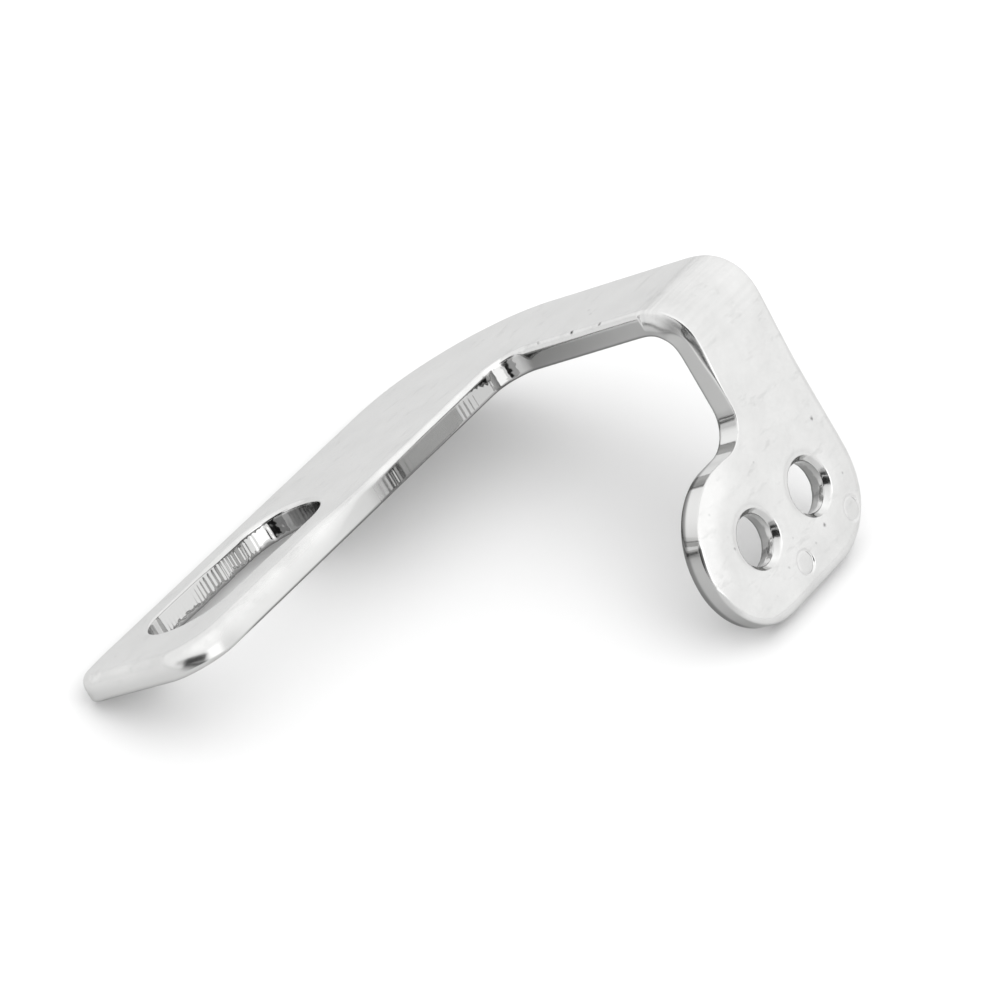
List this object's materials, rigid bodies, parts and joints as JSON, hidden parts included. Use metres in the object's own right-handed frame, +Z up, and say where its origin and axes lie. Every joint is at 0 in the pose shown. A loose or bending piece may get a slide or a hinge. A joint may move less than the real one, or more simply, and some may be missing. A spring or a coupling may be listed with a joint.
{
  "type": "slotted angle bracket",
  "caption": "Bright plated pressed sheet-steel bracket: flat slotted arm turning square into a neck that folds down to a round-ended foot with screw holes, for fixing at an offset.",
  "frame": {"origin": "bottom centre of the bracket's box as it stands on its two lower edges, the bend uppermost", "axes": "+Z up; X along the arm and the bend, with the arm's tip at -X; the foot's outer face looks to -Y and up, the arm's top face to +Y and up"},
  "size_m": [0.049, 0.0386, 0.0189],
  "materials": {
    "bright_plate": "bright nickel plate over pressed steel, with satin faces and bright rolled edges"
  },
  "bodies": {
    "root": {"bracket": "bright_plate"}
  },
  "joints": []
}
